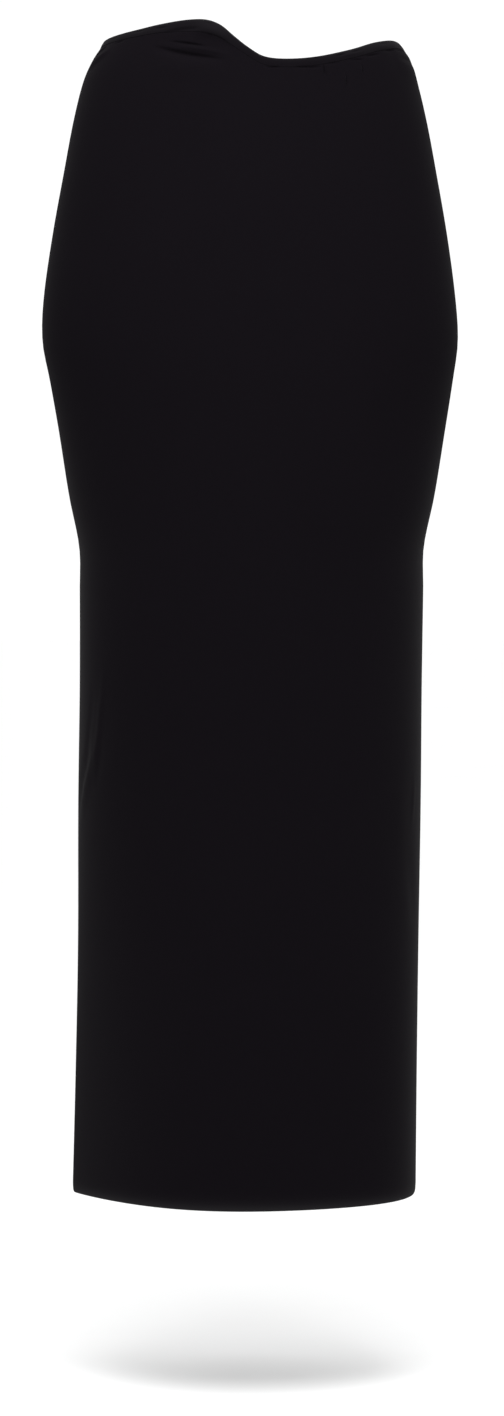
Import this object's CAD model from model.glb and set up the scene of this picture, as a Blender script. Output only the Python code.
from collections import namedtuple
import math

import bpy
import numpy as np
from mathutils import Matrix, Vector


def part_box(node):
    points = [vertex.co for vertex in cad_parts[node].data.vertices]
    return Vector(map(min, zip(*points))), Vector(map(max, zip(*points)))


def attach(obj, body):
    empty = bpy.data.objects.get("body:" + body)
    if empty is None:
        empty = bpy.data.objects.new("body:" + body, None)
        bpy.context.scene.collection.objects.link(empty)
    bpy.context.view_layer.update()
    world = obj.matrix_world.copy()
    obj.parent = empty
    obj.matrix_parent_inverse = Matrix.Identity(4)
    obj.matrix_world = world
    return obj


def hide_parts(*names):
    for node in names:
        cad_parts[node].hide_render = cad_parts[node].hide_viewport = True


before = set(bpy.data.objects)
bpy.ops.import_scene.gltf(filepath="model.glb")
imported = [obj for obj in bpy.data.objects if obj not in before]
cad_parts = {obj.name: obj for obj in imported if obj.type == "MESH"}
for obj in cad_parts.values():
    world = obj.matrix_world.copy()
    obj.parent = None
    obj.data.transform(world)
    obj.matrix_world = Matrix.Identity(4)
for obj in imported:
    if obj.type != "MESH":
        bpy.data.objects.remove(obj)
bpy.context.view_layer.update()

# An ankle-length column skirt in near-black stretch jersey, filled out as it is worn. Metres. +Z is up, the
# front faces -Y and +X is the wearer's left.
#
# The cloth is one smooth surface, found by degrees round the body and the drop below the origin:
#   0 is the left side seam, 90 the middle of the front, 180 the right side seam, 270 the middle of the back.

FRONT, BACK = -1.0, 1.0  # the side of the body that a piece is on, as the sign of its y

HEM = -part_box("front_panel")[0].z  # the drop of the hem
JERSEY = 0.0009  # the thickness of one layer of the cloth
HEM_TURN = 0.020  # how far the hem is turned up inside
HEM_LAYERS = 0.0021  # the thickness of the hem where it is double
WAIST_FADE = 0.240  # below this drop the rows of the cloth no longer follow the curve of the waist
CLOTH_PER_DEGREE = 0.0021  # along the cloth, round the body
MITRE = 0.25  # the share of the depth over which a wall turns to meet its neighbour squarely at a seam

# The figure that the cloth lies on, section by section down the skirt. half is half the width, front and back
# are the depths from the side seams, and shift moves the section to the left. left and right say how crisp
# the side is there: 1 is an ellipse, less is fuller and more is sharper.
SECTION_COLUMNS = ("drop", "half", "front", "back", "shift", "left", "right")
SECTIONS = [
    (-0.012, 0.1078, 0.0900, 0.0900, 0.0004, 0.88, 0.88),
    (0.000, 0.1140, 0.0920, 0.0930, 0.0004, 0.88, 0.88),
    (0.014, 0.1231, 0.0945, 0.0970, 0.0004, 0.88, 0.88),
    (0.030, 0.1298, 0.0970, 0.1010, 0.0000, 0.88, 0.88),
    (0.060, 0.1373, 0.1010, 0.1070, -0.0001, 0.88, 0.88),
    (0.100, 0.1449, 0.1050, 0.1135, -0.0001, 0.89, 0.89),
    (0.150, 0.1538, 0.1090, 0.1195, -0.0003, 0.90, 0.90),
    (0.200, 0.1606, 0.1120, 0.1225, -0.0005, 0.90, 0.90),
    (0.232, 0.1618, 0.1130, 0.1230, 0.0000, 0.90, 0.90),
    (0.262, 0.1570, 0.1135, 0.1225, 0.0009, 0.90, 0.90),
    (0.300, 0.1507, 0.1135, 0.1210, 0.0013, 0.91, 0.92),
    (0.352, 0.1424, 0.1125, 0.1185, 0.0012, 0.92, 0.94),
    (0.392, 0.1344, 0.1120, 0.1167, 0.0010, 0.94, 0.96),
    (0.424, 0.1341, 0.1115, 0.1154, 0.0010, 0.95, 0.98),
    (0.500, 0.1336, 0.1110, 0.1132, 0.0004, 0.96, 1.04),
    (0.590, 0.1339, 0.1115, 0.1125, -0.0006, 0.96, 1.20),
    (0.700, 0.1333, 0.1140, 0.1140, -0.0017, 0.95, 1.50),
    (0.800, 0.1337, 0.1170, 0.1160, -0.0033, 0.95, 1.70),
    (0.900, 0.1346, 0.1200, 0.1180, -0.0050, 0.95, 1.80),
]

# The top edge: a peak right of the middle, one wave down to a low stretch left of it, and a climb to the left
# side. drop is where the edge lies, band is how deep the waistband is under it, and plump is how full its
# fold stands.
WAISTLINE_COLUMNS = ("around", "drop", "band", "plump")
WAISTLINE = [
    (0, 0.0021, 0.0063, 1.20),
    (18, 0.0011, 0.0063, 1.20),
    (36, 0.0049, 0.0063, 1.15),
    (52, 0.0122, 0.0063, 1.05),
    (67, 0.0186, 0.0063, 0.90),
    (78, 0.0205, 0.0063, 0.85),
    (85.5, 0.0186, 0.0063, 0.85),
    (91, 0.0116, 0.0066, 0.90),
    (97, 0.0020, 0.0078, 1.00),
    (102, -0.0055, 0.0094, 1.15),
    (108, -0.0097, 0.0101, 1.10),
    (116, -0.0102, 0.0090, 1.00),
    (128, -0.0079, 0.0068, 1.10),
    (142, -0.0045, 0.0056, 1.20),
    (160, -0.0018, 0.0052, 1.20),
    (180, 0.0000, 0.0052, 1.15),
    (225, 0.0035, 0.0060, 1.00),
    (270, 0.0060, 0.0063, 0.95),
    (315, 0.0050, 0.0063, 1.05),
    (360, 0.0021, 0.0063, 1.20),
]

# The folds: a ridge where rise is over 0, a trough where it is under. Each runs from one place on the cloth
# to another and bows down by bow in between. above and below say how far it reaches on its two sides, so a
# crease can be steep on one and soft on the other. It dies away at its ends.
FOLD_COLUMNS = ("around", "drop", "to_around", "to_drop", "bow", "above", "below", "rise")
PEAK_FOLDS = {
    "roll of the peak": (113, -0.0030, 97, 0.0050, -0.0020, 0.0050, 0.0050, 0.0024),
    "crease in the band": (126, -0.0008, 109, -0.0036, -0.0013, 0.0006, 0.0018, -0.0013),
    "shadow under the roll": (109, 0.0018, 95.5, 0.0158, -0.0045, 0.0016, 0.0040, -0.0007),
    "upper crease": (122, 0.0056, 106, 0.0108, -0.0007, 0.0006, 0.0013, -0.0017),
    "fold between": (118, 0.0096, 97, 0.0172, -0.0005, 0.0020, 0.0020, 0.0014),
    "lower crease": (128.5, 0.0090, 99, 0.0210, 0.0005, 0.0013, 0.0030, -0.0027),
    "hollow round the creases": (130, 0.0070, 94, 0.0190, 0, 0.0100, 0.0080, -0.0008),
    "swell under the creases": (126, 0.0220, 100, 0.0270, 0.0020, 0.0080, 0.0080, 0.0011),
}
HIP_FOLDS = {
    "right hip ridge": (172, 0.0225, 154, 0.0085, 0, 0.0026, 0.0034, 0.0015),
    "right hip tuck": (173.5, 0.0126, 160, 0.0044, 0, 0.0008, 0.0011, -0.0011),
    "right band tuck": (153.5, 0.0042, 147, 0.0026, 0, 0.0006, 0.0009, -0.0008),
    "left hip corner": (-20, 0.0130, 26, 0.0130, 0, 0.0110, 0.0140, 0.0013),
    "left hip corner behind": (340, 0.0130, 386, 0.0130, 0, 0.0110, 0.0140, 0.0013),
    "left hip dent": (0, 0.0170, 24, 0.0150, 0, 0.0020, 0.0026, -0.0009),
    "left hip swell": (6, 0.0250, 28, 0.0190, 0, 0.0090, 0.0100, 0.0008),
}
# Where the band twists, the seam under it is drawn in for a short way.
SEAM_TUCKS = {
    "first tuck": (85, 0.0268, 80, 0.0268, 0, 0.0005, 0.0009, -0.0011),
    "second tuck": (75, 0.0266, 64.5, 0.0261, 0, 0.0005, 0.0009, -0.0012),
    "third tuck": (62.5, 0.0229, 57, 0.0226, 0, 0.0005, 0.0008, -0.0008),
    "fourth tuck": (53.5, 0.0195, 46.5, 0.0190, 0, 0.0005, 0.0009, -0.0010),
    "fifth tuck": (46, 0.0162, 36, 0.0134, 0, 0.0005, 0.0009, -0.0011),
    "sixth tuck": (33, 0.0105, 22, 0.0088, 0, 0.0005, 0.0009, -0.0010),
    "last tuck": (23, 0.0086, 11, 0.0082, 0, 0.0005, 0.0009, -0.0007),
    "bright twist": (59, 0.0180, 45, 0.0128, 0, 0.0012, 0.0012, 0.0006),
    "bright end": (41, 0.0100, 16, 0.0048, 0, 0.0018, 0.0018, 0.0006),
    "back twist": (214, 0.0082, 223, 0.0090, 0, 0.0006, 0.0010, -0.0012),
    "back tuck": (283, 0.0122, 296, 0.0120, 0, 0.0006, 0.0010, -0.0013),
    "left back tuck": (331, 0.0100, 342, 0.0094, 0, 0.0006, 0.0009, -0.0010),
}
# Short nips in the face of the band, where it rolls.
BAND_NIPS = {
    "left end nip": (34, 0.0057, 26, 0.0039, 0, 0.0004, 0.0007, -0.0006),
    "left nip": (52, 0.0141, 45.5, 0.0111, 0, 0.0004, 0.0007, -0.0009),
    "middle nip": (59, 0.0172, 54, 0.0150, 0, 0.0004, 0.0008, -0.0012),
    "low nip": (69, 0.0201, 64, 0.0188, 0, 0.0004, 0.0007, -0.0007),
    "peak nip": (108.5, -0.0078, 104.5, -0.0063, 0, 0.0004, 0.0008, -0.0008),
    "right nip": (131.5, -0.0046, 124.5, -0.0056, 0, 0.0005, 0.0009, -0.0011),
    "far right nip": (143, -0.0027, 136, -0.0043, 0, 0.0005, 0.0009, -0.0010),
    "right end nip": (160, 0.0000, 153, 0.0001, 0, 0.0004, 0.0007, -0.0006),
    "back right nip": (200, 0.0022, 207, 0.0030, 0, 0.0004, 0.0008, -0.0009),
    "back middle nip": (247, 0.0065, 256, 0.0078, 0, 0.0005, 0.0008, -0.0010),
    "back left nip": (308, 0.0070, 316, 0.0066, 0, 0.0004, 0.0008, -0.0009),
}
# Where the seam gathers the cloth, it puckers: a groove with a ridge beside it, both a thread wide.
PUCKERS = {
    "first pucker": (64.1, 0.0240, 64.3, 0.0326, 0, 0.0005, 0.0005, -0.0010),
    "beside the first": (63.5, 0.0240, 63.7, 0.0326, 0, 0.0005, 0.0005, 0.0007),
    "second pucker": (55.7, 0.0300, 56.3, 0.0412, 0, 0.0005, 0.0005, -0.0010),
    "beside the second": (56.3, 0.0300, 56.9, 0.0412, 0, 0.0005, 0.0005, 0.0007),
    "third pucker": (47.8, 0.0230, 48.5, 0.0310, 0, 0.0005, 0.0005, -0.0010),
    "beside the third": (48.5, 0.0230, 49.2, 0.0310, 0, 0.0005, 0.0005, 0.0007),
    "back pucker": (222.0, 0.0150, 222.3, 0.0220, 0, 0.0005, 0.0005, -0.0008),
    "beside the back one": (222.7, 0.0150, 223.0, 0.0220, 0, 0.0005, 0.0005, 0.0006),
}
LOWER_FOLDS = {
    "right knee ridge": (147.5, 0.4860, 154.5, 0.5740, 0, 0.0030, 0.0026, 0.0008),
    "foot of the ridge": (149.5, 0.5380, 169, 0.6020, 0, 0.0028, 0.0032, 0.0014),
    "right knee crease": (148, 0.5450, 153.5, 0.5720, 0, 0.0016, 0.0018, -0.0006),
    "right knee hollow": (154.5, 0.5000, 163, 0.5680, 0, 0.0036, 0.0036, -0.0006),
    "hollow at the foot": (157, 0.5440, 177, 0.6060, 0, 0.0036, 0.0036, -0.0011),
    "left knee ridge": (17, 0.5720, 20.5, 0.6050, 0, 0.0024, 0.0024, 0.0008),
    "left knee swell": (31, 0.5700, 28, 0.6300, 0, 0.0110, 0.0110, 0.0004),
    "left calf hollow": (24, 0.6200, 14, 0.6900, 0, 0.0080, 0.0080, -0.0005),
    "back waist crease": (232, 0.0240, 262, 0.0310, 0.0020, 0.0030, 0.0070, -0.0017),
    "back waist fold": (240, 0.0340, 256, 0.0380, 0.0010, 0.0070, 0.0070, 0.0009),
    "left back drag": (352, 0.2620, 322, 0.3380, 0, 0.0130, 0.0130, -0.0011),
    "right back drag": (190, 0.2850, 214, 0.3500, 0, 0.0120, 0.0120, -0.0009),
    "back knee hollow": (292, 0.5200, 236, 0.5520, 0.0100, 0.0260, 0.0260, -0.0030),
}
FOLD_GROUPS = (PEAK_FOLDS, HIP_FOLDS, SEAM_TUCKS, BAND_NIPS, PUCKERS, LOWER_FOLDS)
Fold = namedtuple("Fold", FOLD_COLUMNS)
FOLDS = [Fold(*row) for group in FOLD_GROUPS for row in group.values()]


# The cloth's surface.


def smooth(columns, table, name, at):
    """One column of a table at places between its rows. The place is the first column. The curve is a cubic
    from row to row, whose slope at a row is the slope from the row before it to the row after it."""
    rows = np.array(table, float)
    place, value = rows[:, 0], rows[:, columns.index(name)]
    slope = np.gradient(value, place, edge_order=1)
    slope[1:-1] = (value[2:] - value[:-2]) / (place[2:] - place[:-2])
    i = np.clip(np.searchsorted(place, at, side="right") - 1, 0, len(place) - 2)
    span = place[i + 1] - place[i]
    t = np.clip((at - place[i]) / span, 0, 1)
    rest = 1 - t
    ends = rest**2 * (1 + 2 * t) * value[i] + t**2 * (1 + 2 * rest) * value[i + 1]
    return ends + rest * t * span * (rest * slope[i] - t * slope[i + 1])


def smoothstep(x, low, high):
    """0 below low, 1 above high, and 3t^2 - 2t^3 between them."""
    t = np.clip((x - low) / (high - low), 0, 1)
    return t * t * (3 - 2 * t)


def section(name, drop):
    """One size of the figure at a drop, by the cubic through SECTIONS."""
    return smooth(SECTION_COLUMNS, SECTIONS, name, drop)


def waistline(name, around):
    """One size of the top edge at a place round the body, by the cubic through WAISTLINE."""
    return smooth(WAISTLINE_COLUMNS, WAISTLINE, name, around)


def crispness(around, drop):
    """How crisp a section is at a place round it: its left value blended into its right one by a smoothstep
    across the body."""
    right = smoothstep(-np.cos(np.radians(around)), -1, 1)
    return section("left", drop) * (1 - right) + section("right", drop) * right


def seam_distance(around, drop, side):
    """How far a place lies from the side seams' plane: the section's depth times a power of the sine."""
    deep = np.abs(np.sin(np.radians(around))) ** crispness(around, drop)
    return deep * section("front" if side == FRONT else "back", drop)


def figure(around, drop, side):
    """The figure's surface: x is the half width times the cosine, and y the distance from the side seams'
    plane, in which the front and the back meet."""
    x = section("shift", drop) + section("half", drop) * np.cos(np.radians(around))
    y = side * seam_distance(around, drop, side)
    return np.stack(np.broadcast_arrays(x, y, -drop), -1)


def unit(vectors):
    """Vectors divided by their lengths."""
    return vectors / np.linalg.norm(vectors, axis=-1, keepdims=True)


def outward(around, drop, side):
    """The way straight out of the figure: the cross product of two short steps on its surface. The steps stay
    clear of the side seams, where the surface ends."""
    degrees, metres = 0.6, 0.0006
    clear = 1.5 * degrees
    start = 0 if side == FRONT else 180
    middle = np.clip(around, start + clear, start + 180 - clear)
    across = figure(middle + degrees, drop, side) - figure(middle - degrees, drop, side)
    down = figure(middle, drop + metres, side) - figure(middle, drop - metres, side)
    return unit(np.cross(across, down))


def lift(around, drop):
    """How far the folds move a place out. Each fold adds its rise, times a parabola along its line, times a
    bell curve of the distance from its line, which is bowed down by the same parabola."""
    total = np.zeros(np.broadcast(around, drop).shape)
    for fold in FOLDS:
        line = (fold.to_around - fold.around) * CLOTH_PER_DEGREE, fold.to_drop - fold.drop
        x, y = (around - fold.around) * CLOTH_PER_DEGREE, drop - fold.drop
        t = np.clip((x * line[0] + y * line[1]) / (line[0] ** 2 + line[1] ** 2), 0, 1)
        taper = 1 - (2 * t - 1) ** 2
        under = y - t * line[1] - fold.bow * taper
        away = np.hypot(x - t * line[0], under)
        reach = np.where(under > 0, fold.below, fold.above)
        total += fold.rise * taper * np.exp(-((away / reach) ** 2))
    return total


def cloth(around, drop, out, side):
    """A place on the cloth, moved out from the figure. Near a side seam the move turns to lie in the seam's
    plane, so the front and the back meet there squarely, and it grows by as much as that takes from the
    thickness."""
    normal = outward(around, drop, side)
    near_seam = np.abs(np.sin(np.radians(around))) / MITRE
    whole = np.ones_like(near_seam)
    turned = np.stack([whole, smoothstep(near_seam, 0, 1), whole], -1)
    way = unit(normal * turned)
    far = (out + lift(around, drop)) / np.sum(way * normal, -1)
    return figure(around, drop, side) + way * far[..., None]


# Meshes.


def add_mesh(name, points, quads, uv, worn, material):
    """A smooth mesh of quads through points, with a UV map in metres along the cloth, and how worn each place
    is, from 0 to 1."""
    mesh = bpy.data.meshes.new(name)
    mesh.vertices.add(len(points))
    mesh.vertices.foreach_set("co", np.ascontiguousarray(points, np.float32).ravel())
    mesh.loops.add(quads.size)
    mesh.loops.foreach_set("vertex_index", quads.astype(np.int32).ravel())
    mesh.polygons.add(len(quads))
    mesh.polygons.foreach_set("loop_start", np.arange(0, quads.size, 4, dtype=np.int32))
    mesh.update(calc_edges=True)
    mesh.validate()
    corner_uv = uv[quads.ravel()].astype(np.float32).ravel()
    mesh.uv_layers.new(name="cloth").data.foreach_set("uv", corner_uv)
    wear = worn.astype(np.float32).ravel()
    mesh.attributes.new("worn", "FLOAT", "POINT").data.foreach_set("value", wear)
    mesh.shade_smooth()
    mesh.materials.append(material)
    obj = bpy.data.objects.new(name, mesh)
    bpy.context.scene.collection.objects.link(obj)
    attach(obj, "root")
    return obj


def there_and_back(outside, inside):
    """The rings of a wall: each line of the outside, and then the same line of the inside, backwards."""
    return np.concatenate([outside, inside[:, ::-1]], axis=1)


def loft(name, rings, uv, worn, material):
    """A closed body through rings of points, an array of rings by points by 3. The first half of a ring's
    points run down the outside and the rest run back up the inside, so each end ring closes as a ladder of
    quads. The ladders are flat shaded, which keeps the wall's own shading clean up to the seam."""
    ring_count, count = rings.shape[:2]
    index = np.arange(ring_count * count).reshape(ring_count, count)
    turned = np.roll(index, -1, axis=1)
    wall = np.stack([index[:-1], index[1:], turned[1:], turned[:-1]], -1).reshape(-1, 4)
    outside, inside = index[:, : count // 2], index[:, : count // 2 - 1 : -1]
    ladders = [outside[:, :-1], outside[:, 1:], inside[:, 1:], inside[:, :-1]]
    first = np.stack([side[0] for side in ladders], -1)
    last = np.stack([side[-1] for side in ladders[::-1]], -1)
    quads = np.concatenate([wall, first, last])
    worn = np.broadcast_to(worn, rings.shape[:2])
    body = add_mesh(name, rings.reshape(-1, 3), quads, uv.reshape(-1, 2), worn, material)
    body.data.polygons.foreach_set("use_smooth", np.arange(len(quads)) < len(wall))
    return body


def along(points, axis):
    """The distance run along one axis of a grid of points, from its first line."""
    steps = np.linalg.norm(np.diff(points, axis=axis), axis=-1)
    return np.concatenate([np.zeros_like(np.take(steps, [0], axis)), np.cumsum(steps, axis)], axis)


def cloth_uv(rings):
    """UV in metres: u is the distance round the body from the middle of the piece, and v the distance run
    down the outside of the ring and back up its inside."""
    half = rings.shape[1] // 2
    round_body = along(rings[:, half // 2 : half // 2 + 1], 0)
    u = np.broadcast_to(round_body - round_body.max() / 2, rings.shape[:2])
    return np.stack([u, along(rings, 1)], -1)


def spread(*spans):
    """Places from the first span's start, each span as (start, end, count), evenly spaced and with no
    repeats."""
    parts = [np.linspace(start, end, count, endpoint=False) for start, end, count in spans]
    return np.append(np.concatenate(parts), spans[-1][1])


NEAR_SEAM = (9.0, 1.6)  # degrees, and how many times closer the columns of a mesh stand there
NEAR_PUCKER = (0.9, 5.0)  # and at a pucker
PUCKER_MIDDLE = 0.2  # degrees from where a pucker starts to the middle of its slope
DENSITY_STEPS = 7201  # at which the density of the columns is worked out


def closer(around, places, reach_and_gain):
    """How much closer columns stand at given places: the gain times a sum of bell curves."""
    reach, gain = reach_and_gain
    return gain * np.sum(np.exp(-(((around[:, None] - places) / reach) ** 2)), -1)


def columns_round(side, count):
    """Degrees round one piece, from side seam to side seam. They are closer together near the seams and at
    the puckers: each step takes the same share of the running sum of the wanted density."""
    start = 0 if side == FRONT else 180
    fine = np.linspace(start, start + 180, DENSITY_STEPS)
    seams = np.array([start, start + 180])
    puckers = np.array([pucker[0] for pucker in PUCKERS.values()]) + PUCKER_MIDDLE
    density = 1 + closer(fine, seams, NEAR_SEAM) + closer(fine, puckers, NEAR_PUCKER)
    run = np.concatenate([[0], np.cumsum((density[1:] + density[:-1]) / 2)])
    return np.interp(np.linspace(0, run[-1], count), run, fine)[:, None]


# The two panels.

UNDER_BAND = 0.0001  # between the foot of the waistband and the top of a panel
SEAM_DIP = 0.00025  # how deep a side seam is pressed into the cloth
WAIST_DIP = 0.00006  # and the seam under the waistband
SEAM_SOFT = 0.0011  # how far from the seam that reaches
LEAN_HIGH, LEAN_DEEP = 0.0100, 0.0007  # the height over which the hem leans in, and how far
FOLD_HIGH, FOLD_DEEP = 0.0030, 0.0013  # the height and the depth of the round fold at its foot
FOLD_INSIDE = 0.3  # the share of that depth by which the inner face is round there
HEM_STEP = (-0.0006, 0.0004)  # from over to under the raw edge of the turned hem, where the wall thickens
HEM_WEAR = 0.0044  # how far up the fold is rubbed lighter
HEM_WEAR_FALL = 1.3  # the power by which that fades

# The rows of a panel's mesh from its top edge down, as (start, end, count): fine over the creases at the top,
# wide over the plain cloth, and fine again at the turned hem and its fold.
SHARP_CREASES_END = 0.034
SOFT_CREASES_END = 0.062
HEM_ROWS_START = HEM - 0.022
FOOT_ROWS_START = HEM - 0.0035
PANEL_COLUMNS = 206
PANEL_ROWS = (
    (0, SHARP_CREASES_END, 76),
    (SHARP_CREASES_END, SOFT_CREASES_END, 22),
    (SOFT_CREASES_END, HEM_ROWS_START, 88),
    (HEM_ROWS_START, FOOT_ROWS_START, 17),
    (FOOT_ROWS_START, HEM, 12),
)


def top_of_panel(around):
    """The drop of a panel's top edge: the waist's drop plus the depth of the band."""
    return waistline("drop", around) + waistline("band", around) + UNDER_BAND


def panel(name, side, material):
    """A panel of jersey. Its rows follow the waist at the top and are level at the hem. Its outer face dips
    into the seams by a bell curve. At the hem it leans in by a parabola and ends in a quarter of an ellipse,
    and its inner face steps in where the hem is turned up."""
    around = columns_round(side, PANEL_COLUMNS)
    rows = spread(*PANEL_ROWS)[None, :]
    drop = rows + top_of_panel(around) * (1 - smoothstep(rows, 0, WAIST_FADE))
    height = HEM - rows
    to_seam = seam_distance(around, drop, side)
    side_dip = SEAM_DIP * np.exp(-((to_seam / SEAM_SOFT) ** 2))
    waist_dip = WAIST_DIP * np.exp(-((rows / SEAM_SOFT) ** 2))
    lean = LEAN_DEEP * np.clip(1 - height / LEAN_HIGH, 0, 1) ** 2
    foot = np.clip(1 - height / FOLD_HIGH, 0, 1)
    fold = FOLD_DEEP * (1 - np.sqrt(1 - foot**2))
    thick = JERSEY + (HEM_LAYERS - JERSEY) * smoothstep(HEM_TURN - height, *HEM_STEP)
    outer = cloth(around, drop, -side_dip - waist_dip - lean - fold, side)
    inner = cloth(around, drop, -thick - lean + FOLD_INSIDE * fold, side)
    rings = there_and_back(outer, inner)
    worn = np.exp(-((height / HEM_WEAR) ** HEM_WEAR_FALL))
    return loft(name, rings, cloth_uv(rings), there_and_back(worn, worn), material)


# The seam allowances inside, and the thread over the raw edges.

ALLOWANCE = 0.0055  # how far a seam allowance reaches from its seam, inside
ALLOWANCE_THICK = 0.0011
ALLOWANCE_OVER = 0.0004  # how far over its seam a waist allowance starts
ALLOWANCE_BEHIND = 0.0002  # how far behind its seam a side allowance starts
AIR = 0.00012  # between the cloth and an allowance that lies on it
ALLOWANCE_MIDDLE = -JERSEY - AIR - ALLOWANCE_THICK / 2
HEM_TURN_MIDDLE = -(JERSEY + HEM_LAYERS) / 2
RIGHT_SEAM, LEFT_SEAM = 180, 360  # degrees round the back
STRIP_POINTS = 7  # places across an allowance
STRIP_EDGE = 0.25  # how thick its edges are, as a share of its middle

THREAD = 0.00017  # the radius of the thread over a raw edge
TURN = 0.0025  # along the edge, from one turn of the thread to the next
TURN_DEEP = 0.0040  # how far in from the edge it reaches
TURN_POINTS = 12  # places along one turn
THREAD_SIDES = 6


def under_waist(around, away):
    """Under the waist's seam, by the degrees round the body: away is added to the drop of the seam."""
    return around, top_of_panel(around) + away


def above_hem(around, away):
    """Over the hem, by the degrees round the body: away is taken from the drop of the hem."""
    return around, HEM - away


def beside_seam(seam):
    """Behind a side seam, by the drop: the sine of the angle from the seam is the distance over the back's
    depth, to the power of one over the crispness."""

    def place(drop, away):
        crisp = section("left" if seam == LEFT_SEAM else "right", drop)
        angle = np.degrees(np.arcsin((away / section("back", drop)) ** (1 / crisp)))
        return (seam - angle if seam == LEFT_SEAM else seam + angle), drop

    return place


def strip(name, place, stations, start, end, side, material):
    """A flat strip inside the cloth, from start to end away from its seam. place finds a point from a station
    along the seam and the distance away from it. Its edges are rounded by a fourth power."""
    share = np.linspace(0, 1, STRIP_POINTS)[None, :]
    around, drop = np.broadcast_arrays(*place(stations, start + (end - start) * share))
    swell = np.sqrt(1 - (2 * share - 1) ** 4)
    half = ALLOWANCE_THICK / 2 * (STRIP_EDGE + (1 - STRIP_EDGE) * swell)
    outer = cloth(around, drop, ALLOWANCE_MIDDLE + half, side)
    inner = cloth(around, drop, ALLOWANCE_MIDDLE - half, side)
    rings = there_and_back(outer, inner)
    piece = loft(name, rings, cloth_uv(rings), 0.0, material)
    return piece


def overlock(name, place, stations, edge, middle, side, material):
    """A thread wound over a raw edge: edge is how far that lies from its seam, and middle how far out from
    the figure. Its line is a flattened spring: along the edge it runs evenly, across it swings by a cosine,
    and in and out by the root of a sine. Its rings are hexagons square to that line."""

    def line(stations, away, out):
        """Points along the edge, at a distance away from the seam and out from the figure."""
        return cloth(*np.broadcast_arrays(*place(stations, away)), out, side)[:, 0]

    run = along(line(stations, edge, middle), 0)
    turns = int(run[-1] / TURN)
    phase = np.linspace(0, 2 * np.pi * turns, turns * TURN_POINTS + 1)[:, None]
    station = np.interp(phase / phase[-1] * run[-1], run, stations[:, 0])
    away = edge + THREAD - TURN_DEEP * (1 - np.cos(phase)) / 2
    swing = np.sign(np.sin(phase)) * np.sqrt(np.abs(np.sin(phase)))
    path = line(station, away, middle + (ALLOWANCE_THICK / 2 + THREAD) * swing)
    ahead = unit(np.gradient(path, axis=0))
    spoke = unit(np.cross(ahead, np.gradient(line(station, edge, middle), axis=0)))
    other = np.cross(spoke, ahead)
    angle = (2 * np.pi * np.arange(THREAD_SIDES) / THREAD_SIDES)[None, :, None]
    rings = path[:, None] + THREAD * (np.cos(angle) * spoke[:, None] + np.sin(angle) * other[:, None])
    return loft(name, rings, cloth_uv(rings), 0.0, material)


# The waistband.

BAND_THICK = 0.0020  # two layers of jersey and the slot between them
BAND_MIDDLE = -0.00055  # the middle of the band, from the panel's outer face
BAND_RISE = 0.0004  # how far its fold stands over the line of the waist
BAND_CROWN = 0.22  # the share of the band's depth over which its top edge is round
BAND_CURL = 0.45  # how much thinner it gets towards the seam, where it is flush with the panel
BAND_CURL_FROM = 0.55  # the share of the band's depth at which that starts
BAND_WEAR = 0.0015  # how far down its fold is rubbed lighter
BAND_WORN = 0.5  # how worn the fold is by its rub, and again where it stands full
BAND_FULL_FROM, BAND_FULL_OVER = 0.9, 0.3  # the plumpness from which the fold counts as full, and over which
BAND_COLUMNS = 300
BAND_LINES = 31  # lines of the mesh across the strip
BAND_CROWDING = 1.6  # the power by which they crowd towards the fold


def waistband(name, side, material):
    """A narrow band: a strip of jersey folded in two. A line across the strip runs up the inside, round the
    fold and down the outside. The fold is a quarter of an ellipse on each side, and each cut edge curls in by
    a smoothstep towards the seam."""
    around = columns_round(side, BAND_COLUMNS)
    across = np.linspace(-1, 1, BAND_LINES)[None, :]
    fall = np.abs(across) ** BAND_CROWDING
    crown = np.sqrt(1 - (1 - np.minimum(fall / BAND_CROWN, 1)) ** 2)
    full = crown * (1 - BAND_CURL * smoothstep(fall, BAND_CURL_FROM, 1))
    top, band, plump = (waistline(column, around) for column in ("drop", "band", "plump"))

    def face(layer):
        """One face of the folded strip, moved in by a layer: 0 for its outer face."""
        half = (BAND_THICK / 2 - layer) * plump
        out = BAND_MIDDLE + np.sign(across) * half * full
        return cloth(around, top - BAND_RISE + layer + (band + BAND_RISE - layer) * fall, out, side)

    rings = there_and_back(face(0), face(JERSEY))
    rubbed = np.exp(-((fall * band / BAND_WEAR) ** 2))
    stands_full = np.clip((plump - BAND_FULL_FROM) / BAND_FULL_OVER, 0, 1) * np.sqrt(1 - fall)
    worn = (rubbed + stands_full) * BAND_WORN
    return loft(name, rings, cloth_uv(rings), there_and_back(worn, worn), material)


# Materials.

MIX_A, MIX_B, MIX_RESULT = 6, 7, 2  # the colour sockets of a Mix node


def new_material(name):
    """An empty node material, and its tree."""
    material = bpy.data.materials.new(name)
    material.use_nodes = True
    tree = material.node_tree
    tree.nodes.clear()
    return material, tree


def node(tree, kind, inputs=None, **settings):
    """A node with its settings. An input is a value, or a socket to link from."""
    made = tree.nodes.new(kind)
    for name, value in settings.items():
        setattr(made, name, value)
    for name, value in (inputs or {}).items():
        if isinstance(value, bpy.types.NodeSocket):
            tree.links.new(value, made.inputs[name])
        else:
            made.inputs[name].default_value = value
    return made


def maths(tree, operation, *values):
    """The result of a Math node on values or sockets."""
    return node(tree, "ShaderNodeMath", dict(enumerate(values)), operation=operation).outputs[0]


def colour_between(tree, factor, first, second):
    """A colour between two, the first where factor is 0 and the second where it is 1."""
    sockets = {"Factor": factor, MIX_A: first, MIX_B: second}
    return node(tree, "ShaderNodeMix", sockets, data_type="RGBA").outputs[MIX_RESULT]


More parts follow.
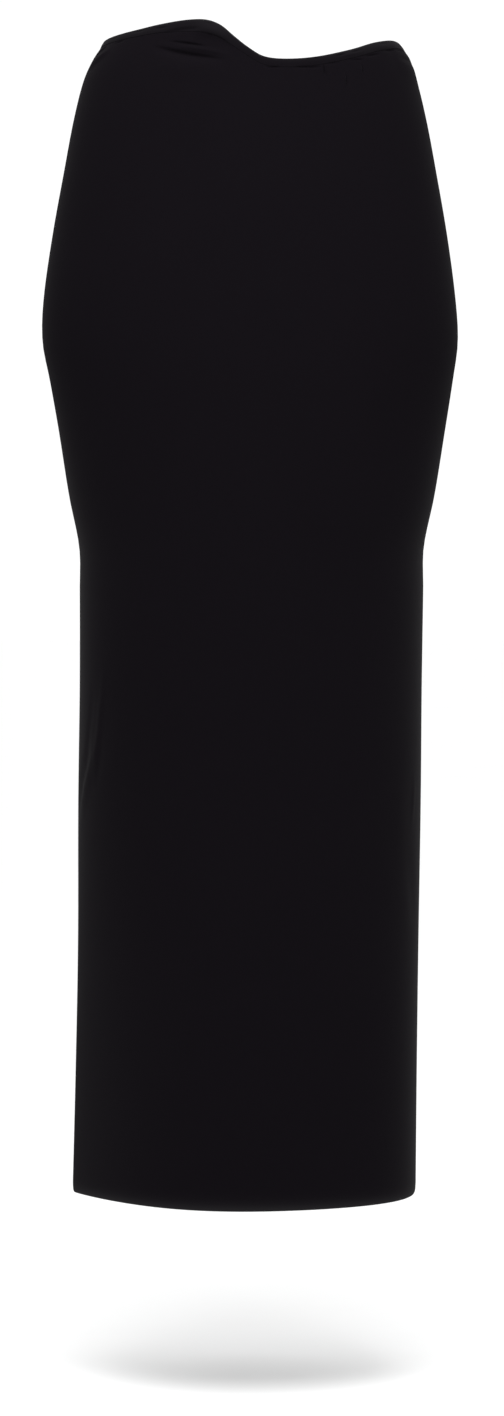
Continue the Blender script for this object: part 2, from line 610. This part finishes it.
def new_group(name, inputs, outputs):
    """An empty shader node group. inputs and outputs are (name, kind) pairs. Gives the tree, the sockets that
    come in, and the node whose inputs go out."""
    tree = bpy.data.node_groups.new(name, "ShaderNodeTree")
    for in_out, sockets in (("INPUT", inputs), ("OUTPUT", outputs)):
        for socket, kind in sockets:
            tree.interface.new_socket(socket, in_out=in_out, socket_type="NodeSocket" + kind)
    return tree, tree.nodes.new("NodeGroupInput").outputs, tree.nodes.new("NodeGroupOutput").inputs


STITCH_SWING = 0.25  # how much a stitch's loops rise and fall, against the column's own rise


def jersey_knit_group():
    """Plain jersey: columns of V stitches. A column stands highest at its two legs, halfway between its
    middle and its edges, and the loops run along it as a sine whose phase grows from the middle to each edge,
    which draws the V."""
    tree, given, result = new_group(
        "jersey_knit",
        [("Cloth", "Vector"), ("Column Width", "Float"), ("Stitch Height", "Float")],
        [("Height", "Float")],
    )
    place = node(tree, "ShaderNodeSeparateXYZ", {"Vector": given["Cloth"]}).outputs
    column = maths(tree, "DIVIDE", place["X"], given["Column Width"])
    from_middle = maths(tree, "ABSOLUTE", maths(tree, "SUBTRACT", maths(tree, "FRACT", column), 0.5))
    from_leg = maths(tree, "ABSOLUTE", maths(tree, "SUBTRACT", from_middle, 0.25))
    leg = maths(tree, "SUBTRACT", 1.0, from_leg)
    stitch = maths(tree, "DIVIDE", place["Y"], given["Stitch Height"])
    phase = maths(tree, "MULTIPLY", maths(tree, "ADD", stitch, from_middle), 2 * math.pi)
    loop = maths(tree, "SINE", phase)
    tree.links.new(maths(tree, "MULTIPLY_ADD", loop, STITCH_SWING, leg), result["Height"])
    return tree


def thread_ply_group():
    """Twisted thread: a sine that climbs along the thread and round it."""
    tree, given, result = new_group(
        "thread_ply",
        [("Cloth", "Vector"), ("Twist", "Float"), ("Girth", "Float")],
        [("Height", "Float")],
    )
    place = node(tree, "ShaderNodeSeparateXYZ", {"Vector": given["Cloth"]}).outputs
    run = maths(tree, "DIVIDE", place["X"], given["Twist"])
    round_it = maths(tree, "DIVIDE", place["Y"], given["Girth"])
    phase = maths(tree, "MULTIPLY", maths(tree, "ADD", run, round_it), 2 * math.pi)
    tree.links.new(maths(tree, "SINE", phase), result["Height"])
    return tree


CLOUDS = {"Scale": 14.0, "Detail": 3.0}
FIBRE = {"Scale": 900.0, "Detail": 2.0}
CLOUD_SHARE, FIBRE_SHARE = 0.25, 0.75  # of the mix of the dark and the light tone
FIBRE_ROUGH = 0.12  # how much rougher the cloth is where the fibre stands up


def cloth_tone_group():
    """The colour of worn jersey: a dark and a light tone mixed by slow clouds and by fine fibre, with the
    roughness rising where the fibre stands up."""
    tree, given, result = new_group(
        "cloth_tone",
        [
            ("Place", "Vector"),
            ("Dark", "Color"),
            ("Light", "Color"),
            ("Worn Color", "Color"),
            ("Worn", "Float"),
            ("Roughness", "Float"),
        ],
        [("Color", "Color"), ("Roughness", "Float"), ("Height", "Float")],
    )
    clouds = node(tree, "ShaderNodeTexNoise", {"Vector": given["Place"], **CLOUDS}).outputs["Fac"]
    fibre = node(tree, "ShaderNodeTexNoise", {"Vector": given["Place"], **FIBRE}).outputs["Fac"]
    slow = maths(tree, "MULTIPLY", clouds, CLOUD_SHARE)
    share = maths(tree, "ADD", slow, maths(tree, "MULTIPLY", fibre, FIBRE_SHARE))
    tone = colour_between(tree, share, given["Dark"], given["Light"])
    worn_tone = colour_between(tree, given["Worn"], tone, given["Worn Color"])
    tree.links.new(worn_tone, result["Color"])
    rough = maths(tree, "MULTIPLY_ADD", fibre, FIBRE_ROUGH, given["Roughness"])
    tree.links.new(rough, result["Roughness"])
    tree.links.new(fibre, result["Height"])
    return tree


FINE_KNIT = jersey_knit_group(), {"Column Width": 0.0007, "Stitch Height": 0.0006}
TWO_PLY = thread_ply_group(), {"Twist": 0.0009, "Girth": 2 * math.pi * THREAD}
TONE = cloth_tone_group()

NAP_LIES_FLAT = -0.24  # over this height the jersey is drawn tight, and shows less sheen
NAP_STANDS = -0.42  # under this height it hangs free
SHEEN_ROUGHNESS = 0.38
FIBRE_HEIGHT = 0.5  # the fibre's share in the bump, against the stitch's or the ply's
BUMP = {"Strength": 0.35, "Distance": 0.00012}


def yarn_material(name, relief, dark, light, worn, roughness, sheen):
    """Cloth or thread: the tone group for colour and roughness, fibre and a relief as bump, and a soft sheen,
    given as the pair where the jersey hangs free and where it is drawn tight. relief is a group and its own
    values."""
    material, tree = new_material(name)
    coordinates = node(tree, "ShaderNodeTexCoord").outputs
    tone_inputs = {
        "Place": coordinates["Object"],
        "Dark": (*dark, 1),
        "Light": (*light, 1),
        "Worn Color": (*worn, 1),
        "Worn": node(tree, "ShaderNodeAttribute", attribute_name="worn").outputs["Fac"],
        "Roughness": roughness,
    }
    tone = node(tree, "ShaderNodeGroup", tone_inputs, node_tree=TONE).outputs
    group, values = relief
    surface = node(tree, "ShaderNodeGroup", {"Cloth": coordinates["UV"], **values}, node_tree=group).outputs
    height = maths(tree, "MULTIPLY_ADD", tone["Height"], FIBRE_HEIGHT, surface["Height"])
    bump = node(tree, "ShaderNodeBump", {"Height": height, **BUMP})
    place = node(tree, "ShaderNodeSeparateXYZ", {"Vector": coordinates["Object"]}).outputs
    free, tight = sheen
    nap_inputs = {
        "Value": place["Z"],
        "From Min": NAP_STANDS,
        "From Max": NAP_LIES_FLAT,
        "To Min": free,
        "To Max": tight,
    }
    nap = node(tree, "ShaderNodeMapRange", nap_inputs, interpolation_type="SMOOTHSTEP")
    skin = node(tree, "ShaderNodeBsdfPrincipled", {
        "Base Color": tone["Color"],
        "Roughness": tone["Roughness"],
        "Normal": bump.outputs["Normal"],
        "Specular IOR Level": 0.0,
        "Sheen Weight": nap.outputs["Result"],
        "Sheen Roughness": SHEEN_ROUGHNESS,
    })
    node(tree, "ShaderNodeOutputMaterial", {"Surface": skin.outputs["BSDF"]})
    return material


BODY_JERSEY = yarn_material(
    "near_black_jersey",
    FINE_KNIT,
    dark=(0.0038, 0.0031, 0.0042),
    light=(0.0054, 0.0045, 0.0058),
    worn=(0.0150, 0.0142, 0.0155),
    roughness=0.80,
    sheen=(0.037, 0.019),
)
BAND_JERSEY = yarn_material(
    "waistband_jersey",
    FINE_KNIT,
    dark=(0.0040, 0.0033, 0.0044),
    light=(0.0058, 0.0049, 0.0062),
    worn=(0.0120, 0.0112, 0.0125),
    roughness=0.76,
    sheen=(0.042, 0.026),
)
OVERLOCK_THREAD = yarn_material(
    "overlock_thread",
    TWO_PLY,
    dark=(0.0055, 0.0048, 0.0060),
    light=(0.0085, 0.0075, 0.0090),
    worn=(0.0120, 0.0112, 0.0125),
    roughness=0.65,
    sheen=(0.050, 0.040),
)


# The pieces.


def dress(node_name):
    """Has a piece stand for its plain solid, and take its finish from a slot."""
    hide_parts(node_name)


front_panel = panel("front_panel_jersey", FRONT, BODY_JERSEY)
dress("front_panel")
back_panel = panel("back_panel_jersey", BACK, BODY_JERSEY)
dress("back_panel")
front_band = waistband("waistband_front_jersey", FRONT, BAND_JERSEY)
dress("waistband_front")
back_band = waistband("waistband_back_jersey", BACK, BAND_JERSEY)
dress("waistband_back")

for name, side in (("front", FRONT), ("back", BACK)):
    stations = columns_round(side, PANEL_COLUMNS)
    waist, hem = name + "_waist", name + "_hem"
    strip(waist + "_allowance", under_waist, stations, -ALLOWANCE_OVER, ALLOWANCE, side, BODY_JERSEY)
    overlock(waist + "_overlock", under_waist, stations, ALLOWANCE, ALLOWANCE_MIDDLE, side, OVERLOCK_THREAD)
    overlock(hem + "_overlock", above_hem, stations, HEM_TURN, HEM_TURN_MIDDLE, side, OVERLOCK_THREAD)

CURVED_TOP = 0.03  # how far down a side seam its stations stand closer
OVER_HEM_TURN = 0.001  # between the foot of a side allowance and the turned hem

for name, seam in (("right", RIGHT_SEAM), ("left", LEFT_SEAM)):
    top = float(top_of_panel(np.array([seam]))[0])
    foot = HEM - HEM_TURN - OVER_HEM_TURN
    stations = spread((top, top + CURVED_TOP, 20), (top + CURVED_TOP, foot, 130))[:, None]
    facing_out = stations[::-1] if seam == RIGHT_SEAM else stations
    edge = ALLOWANCE_BEHIND + ALLOWANCE
    place = beside_seam(seam)
    strip(name + "_side_allowance", place, facing_out, ALLOWANCE_BEHIND, edge, BACK, BODY_JERSEY)
    overlock(name + "_side_overlock", place, stations, edge, ALLOWANCE_MIDDLE, BACK, OVERLOCK_THREAD)


# The floor, the light and the camera.

FLOOR_BELOW_HEM = 0.145
FLOOR = -HEM - FLOOR_BELOW_HEM
FLOOR_HALF = 30.0  # half the floor's width
FLOOR_TONES = (0.93, 0.93, 0.93, 1), (0.96, 0.96, 0.96, 1)

CAMERA_PLACE = (0.0014, -4.0, -0.3875)
CAMERA_TILT = 1.857  # degrees down
CAMERA_LENS = 130.2  # millimetres, for 36 of sensor along the picture's longer side


def pale_floor():
    """A wide flat floor with a faint mottle."""
    half = FLOOR_HALF
    corners = [(-half, -half, FLOOR), (half, -half, FLOOR), (half, half, FLOOR), (-half, half, FLOOR)]
    mesh = bpy.data.meshes.new("floor")
    mesh.from_pydata(corners, [], [(0, 1, 2, 3)])
    material, tree = new_material("pale_floor")
    coordinates = node(tree, "ShaderNodeTexCoord").outputs
    mottle = node(tree, "ShaderNodeTexNoise", {"Vector": coordinates["Object"], "Scale": 6.0}).outputs["Fac"]
    tone = colour_between(tree, mottle, *FLOOR_TONES)
    skin = node(tree, "ShaderNodeBsdfPrincipled", {"Base Color": tone, "Roughness": 0.9})
    node(tree, "ShaderNodeOutputMaterial", {"Surface": skin.outputs["BSDF"]})
    mesh.materials.append(material)
    floor = bpy.data.objects.new("floor", mesh)
    bpy.context.scene.collection.objects.link(floor)


def look_at(obj, place, aim):
    """Stands obj at a place with its -Z axis towards a point and its Y axis as near up as it can be."""
    way = np.array(aim, float) - np.array(place, float)
    flat = math.hypot(way[0], way[1])
    obj.location = place
    obj.rotation_euler = (math.pi / 2 + math.atan2(way[2], flat), 0, math.atan2(-way[0], way[1]))


def soft_light(name, place, aim, size, watts):
    """A square area light at a place, turned to a point."""
    light = bpy.data.lights.new(name, "AREA")
    light.shape = "SQUARE"
    light.size = size
    light.energy = watts
    obj = bpy.data.objects.new(name, light)
    bpy.context.scene.collection.objects.link(obj)
    look_at(obj, place, aim)


def daylight(strength):
    """An even white surround."""
    world = bpy.data.worlds.new("studio")
    bpy.context.scene.world = world
    world.use_nodes = True
    background = world.node_tree.nodes["Background"]
    background.inputs["Color"].default_value = (1, 1, 1, 1)
    background.inputs["Strength"].default_value = strength


def stand_camera():
    """The camera stands in front, 4 m off and a little under hip height, and looks slightly down."""
    camera = bpy.data.cameras.new("camera")
    camera.sensor_width = 36.0
    camera.lens = CAMERA_LENS
    obj = bpy.data.objects.new("camera", camera)
    bpy.context.scene.collection.objects.link(obj)
    obj.location = CAMERA_PLACE
    obj.rotation_euler = (math.radians(90 - CAMERA_TILT), 0, 0)
    bpy.context.scene.camera = obj


pale_floor()
daylight(strength=1.06)
soft_light("overhead", place=(0.0, -0.80, 0.85), aim=(0, 0, -0.10), size=1.0, watts=20)
stand_camera()
bpy.context.scene.view_settings.view_transform = "Standard"
